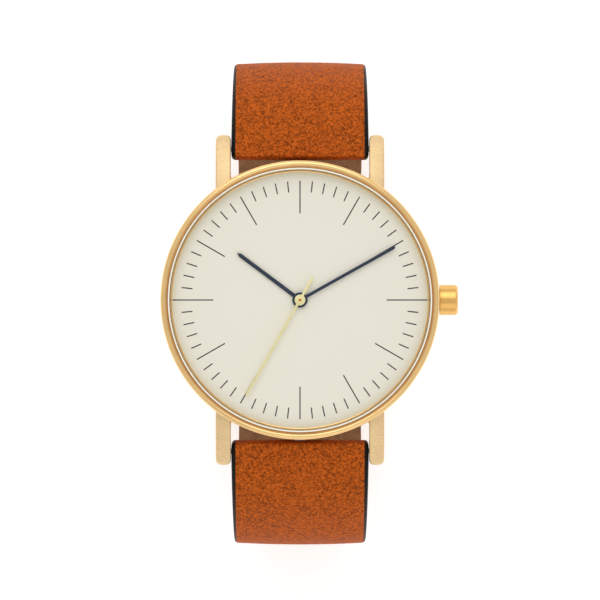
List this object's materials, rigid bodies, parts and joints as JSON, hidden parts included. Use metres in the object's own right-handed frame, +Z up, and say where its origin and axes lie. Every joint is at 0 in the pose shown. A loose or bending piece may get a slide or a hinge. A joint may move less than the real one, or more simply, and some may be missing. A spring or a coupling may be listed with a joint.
{
  "type": "wristwatch",
  "caption": "Slim round dress watch with a cream dial, a gold case and crown, a quartz movement, and a tan leather strap buckled into a loop.",
  "frame": {"origin": "middle of the fixed keeper's underside, which the buckled watch stands on, straight below the middle of the dial", "axes": "+Z up through the dial, +Y towards twelve o'clock, +X towards the crown at three o'clock"},
  "size_m": [0.0426, 0.0706, 0.051],
  "materials": {
    "gold_case": "satin light-gold plating with a polished bezel",
    "gold_trim": "polished light-gold plating",
    "steel_back": "brushed stainless steel",
    "steel_parts": "fine turned steel",
    "brass_parts": "turned brass",
    "crystal_glass": "clear flat mineral glass",
    "white_gasket": "white nylon",
    "black_rubber": "black nitrile rubber",
    "dial_cream": "matt cream lacquer with dark grey printed hour and minute marks",
    "hand_navy": "dark navy lacquer",
    "hand_gold": "polished pale gold",
    "holder_plastic": "white moulded plastic",
    "coil_copper": "enamelled copper wire",
    "board_green": "green circuit board",
    "chip_black": "black epoxy",
    "rotor_magnet": "dark sintered magnet on a steel arbor",
    "leather_tan": "orange-tan pebbled leather with black painted edges",
    "leather_band": "orange-tan leather band",
    "leather_lining": "smooth brown lining leather"
  },
  "bodies": {
    "watch": {"case_body": "gold_case", "crystal": "crystal_glass", "crystal_gasket": "white_gasket", "rehaut_ring": "gold_trim", "case_back": "steel_back", "case_back_gasket": "black_rubber", "crown_tube": "steel_parts", "dial": "dial_cream", "movement_holder": "holder_plastic", "main_plate": "brass_parts", "train_bridge": "brass_parts", "bridge_screw_1": "steel_parts", "bridge_screw_2": "steel_parts", "hour_wheel_washer": "steel_parts", "stator": "steel_parts", "coil_core": "steel_parts", "coil": "coil_copper", "battery_cell": "steel_parts", "battery_clamp": "steel_parts", "clamp_screw": "steel_parts", "circuit_board": "board_green", "quartz_can": "steel_parts", "drive_chip": "chip_black", "strap_12_leather": "leather_tan", "strap_12_lining": "leather_lining", "strap_6_leather": "leather_tan", "strap_6_lining": "leather_lining", "fixed_keeper": "leather_band", "buckle_bar_sleeve": "steel_parts", "spring_bar_12_sleeve": "steel_parts", "spring_bar_6_sleeve": "steel_parts"},
    "seconds": {"seconds_wheel": "steel_parts", "seconds_hand": "hand_gold"},
    "third": {"third_wheel": "brass_parts"},
    "minutes": {"centre_wheel": "brass_parts", "minute_hand": "hand_navy"},
    "minute_wheel": {"minute_wheel": "brass_parts"},
    "hours": {"hour_wheel": "brass_parts", "hour_hand": "hand_navy"},
    "setting_wheel": {"setting_wheel": "steel_parts"},
    "fifth": {"fifth_wheel": "brass_parts"},
    "rotor": {"rotor": "rotor_magnet"},
    "crown_seal": {"crown_gasket": "black_rubber"},
    "crown": {"crown": "gold_trim", "setting_stem": "steel_parts"},
    "setting_lever": {"setting_lever": "steel_parts"},
    "yoke": {"yoke": "steel_parts"},
    "sliding_pinion": {"sliding_pinion": "steel_parts"},
    "free_keeper": {"free_keeper": "leather_band"},
    "buckle_frame": {"buckle_frame": "gold_trim"},
    "buckle_tongue": {"buckle_tongue": "gold_trim"},
    "spring_bar_12_tip_left": {"spring_bar_12_tip_left": "steel_parts"},
    "spring_bar_12_tip_right": {"spring_bar_12_tip_right": "steel_parts"},
    "spring_bar_6_tip_left": {"spring_bar_6_tip_left": "steel_parts"},
    "spring_bar_6_tip_right": {"spring_bar_6_tip_right": "steel_parts"},
    "buckle_bar_tip_left": {"buckle_bar_tip_left": "steel_parts"},
    "buckle_bar_tip_right": {"buckle_bar_tip_right": "steel_parts"}
  },
  "joints": [
    {"name": "seconds_turn", "type": "hinge", "parent": "watch", "child": "seconds", "pos_m": [0, 0, 0.04665], "axis": [0, 0, -1], "continuous": true},
    {"name": "third_turn", "type": "hinge", "parent": "watch", "child": "third", "pos_m": [-0.00123, 0.00338, 0.04665], "axis": [0, 0, -1], "continuous": true},
    {"name": "minutes_turn", "type": "hinge", "parent": "watch", "child": "minutes", "pos_m": [0, 0, 0.04715], "axis": [0, 0, -1], "continuous": true},
    {"name": "minute_wheel_turn", "type": "hinge", "parent": "watch", "child": "minute_wheel", "pos_m": [0.00246, 0.00172, 0.04815], "axis": [0, 0, -1], "continuous": true},
    {"name": "hours_turn", "type": "hinge", "parent": "watch", "child": "hours", "pos_m": [0, 0, 0.04845], "axis": [0, 0, -1], "continuous": true},
    {"name": "setting_wheel_turn", "type": "hinge", "parent": "watch", "child": "setting_wheel", "pos_m": [0.00588, 0.0002, 0.04815], "axis": [0, 0, -1], "continuous": true},
    {"name": "fifth_turn", "type": "hinge", "parent": "watch", "child": "fifth", "pos_m": [-0.00231, -0.00276, 0.04665], "axis": [0, 0, -1], "continuous": true},
    {"name": "rotor_turn", "type": "hinge", "parent": "watch", "child": "rotor", "pos_m": [-0.00495, -0.00372, 0.04665], "axis": [0, 0, -1], "continuous": true},
    {"name": "crown_pull", "type": "slide", "parent": "watch", "child": "crown_seal", "axis": [1, 0, 0], "range_m": [0, 0.0008]},
    {"name": "crown_turn", "type": "hinge", "parent": "crown_seal", "child": "crown", "pos_m": [0.021, 0, 0.04675], "axis": [1, 0, 0], "continuous": true},
    {"name": "lever_swing", "type": "hinge", "parent": "watch", "child": "setting_lever", "pos_m": [0.0104, -0.003, 0.04575], "axis": [0, 0, 1], "range_deg": [-16, 0]},
    {"name": "yoke_shift", "type": "slide", "parent": "watch", "child": "yoke", "axis": [1, 0, 0], "range_m": [-0.00045, 0]},
    {"name": "pinion_turn", "type": "hinge", "parent": "yoke", "child": "sliding_pinion", "pos_m": [0.0086, 0, 0.04675], "axis": [1, 0, 0], "continuous": true},
    {"name": "keeper_slide", "type": "slide", "parent": "watch", "child": "free_keeper", "axis": [0, 1, 0], "range_m": [-0.0045, 0.0025]},
    {"name": "buckle_swing", "type": "hinge", "parent": "watch", "child": "buckle_frame", "pos_m": [0, -0.0055, 0.00435], "axis": [1, 0, 0], "range_deg": [0, 8]},
    {"name": "tongue_swing", "type": "hinge", "parent": "buckle_frame", "child": "buckle_tongue", "pos_m": [0, -0.0055, 0.00435], "axis": [1, 0, 0], "range_deg": [0, 8]},
    {"name": "bar_12_left_press", "type": "slide", "parent": "watch", "child": "spring_bar_12_tip_left", "axis": [1, 0, 0], "range_m": [0, 0.0009], "stiffness_N_per_m": 200},
    {"name": "bar_12_right_press", "type": "slide", "parent": "watch", "child": "spring_bar_12_tip_right", "axis": [-1, 0, 0], "range_m": [0, 0.0009], "stiffness_N_per_m": 200},
    {"name": "bar_6_left_press", "type": "slide", "parent": "watch", "child": "spring_bar_6_tip_left", "axis": [1, 0, 0], "range_m": [0, 0.0009], "stiffness_N_per_m": 200},
    {"name": "bar_6_right_press", "type": "slide", "parent": "watch", "child": "spring_bar_6_tip_right", "axis": [-1, 0, 0], "range_m": [0, 0.0009], "stiffness_N_per_m": 200},
    {"name": "buckle_left_press", "type": "slide", "parent": "watch", "child": "buckle_bar_tip_left", "axis": [1, 0, 0], "range_m": [0, 0.0009], "stiffness_N_per_m": 200},
    {"name": "buckle_right_press", "type": "slide", "parent": "watch", "child": "buckle_bar_tip_right", "axis": [-1, 0, 0], "range_m": [0, 0.0009], "stiffness_N_per_m": 200}
  ],
  "couplings": [
    {"joint": "third_turn", "follows": "seconds_turn", "ratio": -0.13333},
    {"joint": "minutes_turn", "follows": "seconds_turn", "ratio": 0.016667},
    {"joint": "minute_wheel_turn", "follows": "seconds_turn", "ratio": -0.0055556},
    {"joint": "hours_turn", "follows": "seconds_turn", "ratio": 0.0013889},
    {"joint": "setting_wheel_turn", "follows": "seconds_turn", "ratio": 0.0083333},
    {"joint": "fifth_turn", "follows": "seconds_turn", "ratio": -5},
    {"joint": "rotor_turn", "follows": "seconds_turn", "ratio": 30},
    {"joint": "lever_swing", "follows": "crown_pull", "rad_per_m": -333.33},
    {"joint": "yoke_shift", "follows": "crown_pull", "ratio": -0.5},
    {"joint": "pinion_turn", "follows": "crown_turn", "ratio": 1}
  ]
}
